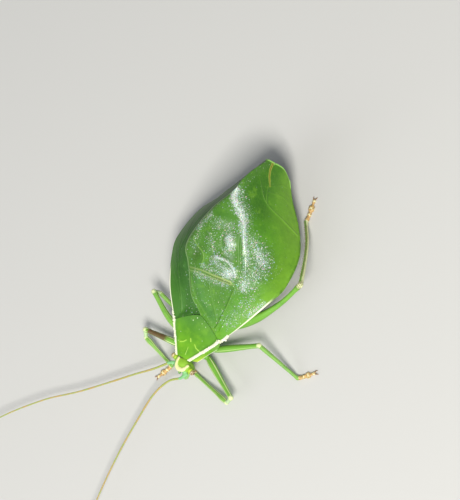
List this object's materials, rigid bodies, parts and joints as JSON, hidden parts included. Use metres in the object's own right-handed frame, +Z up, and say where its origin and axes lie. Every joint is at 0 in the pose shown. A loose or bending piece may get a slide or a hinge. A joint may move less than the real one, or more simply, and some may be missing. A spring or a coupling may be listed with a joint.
{
  "type": "leaf-mimic bush katydid",
  "caption": "Still life-size leaf-mimic katydid: tented leaf-shaped wing covers over the body, a keeled saddle behind the head, slender spread legs and long feelers.",
  "frame": {"origin": "on the floor, under the middle of the whole box, feelers included", "axes": "+Y towards the head, +X to the animal's right, +Z up"},
  "size_m": [0.0546, 0.0818, 0.0146],
  "materials": {
    "wing_green": "satin, finely grained, veined",
    "plate_green": "satin yellow-green",
    "flesh_green": "satin green",
    "leg_green": "satin green",
    "foot_tan": "satin orange-brown",
    "feeler_olive": "satin olive",
    "eye_brown": "glossy, ringed brown"
  },
  "bodies": {
    "root": {"tegmen_left": "wing_green", "tegmen_right": "wing_green", "pronotum": "plate_green", "thorax": "flesh_green", "abdomen": "flesh_green", "head": "flesh_green", "eye_left": "eye_brown", "eye_right": "eye_brown", "antenna_left_scape": "flesh_green", "antenna_left_1": "feeler_olive", "antenna_left_2": "feeler_olive", "antenna_left_3": "feeler_olive", "antenna_right_scape": "flesh_green", "antenna_right_1": "feeler_olive", "antenna_right_2": "feeler_olive", "antenna_right_3": "feeler_olive", "coxa_front_left": "leg_green", "femur_front_left": "leg_green", "tibia_front_left": "leg_green", "tarsus_front_left": "foot_tan", "coxa_front_right": "leg_green", "femur_front_right": "leg_green", "tibia_front_right": "leg_green", "tarsus_front_right": "foot_tan", "coxa_mid_left": "leg_green", "femur_mid_left": "leg_green", "tibia_mid_left": "leg_green", "tarsus_mid_left": "foot_tan", "coxa_mid_right": "leg_green", "femur_mid_right": "leg_green", "tibia_mid_right": "leg_green", "tarsus_mid_right": "foot_tan", "coxa_hind_left": "leg_green", "femur_hind_left": "leg_green", "tibia_hind_left": "leg_green", "tarsus_hind_left": "foot_tan", "coxa_hind_right": "leg_green", "femur_hind_right": "leg_green", "tibia_hind_right": "leg_green", "tarsus_hind_right": "foot_tan"}
  },
  "joints": []
}
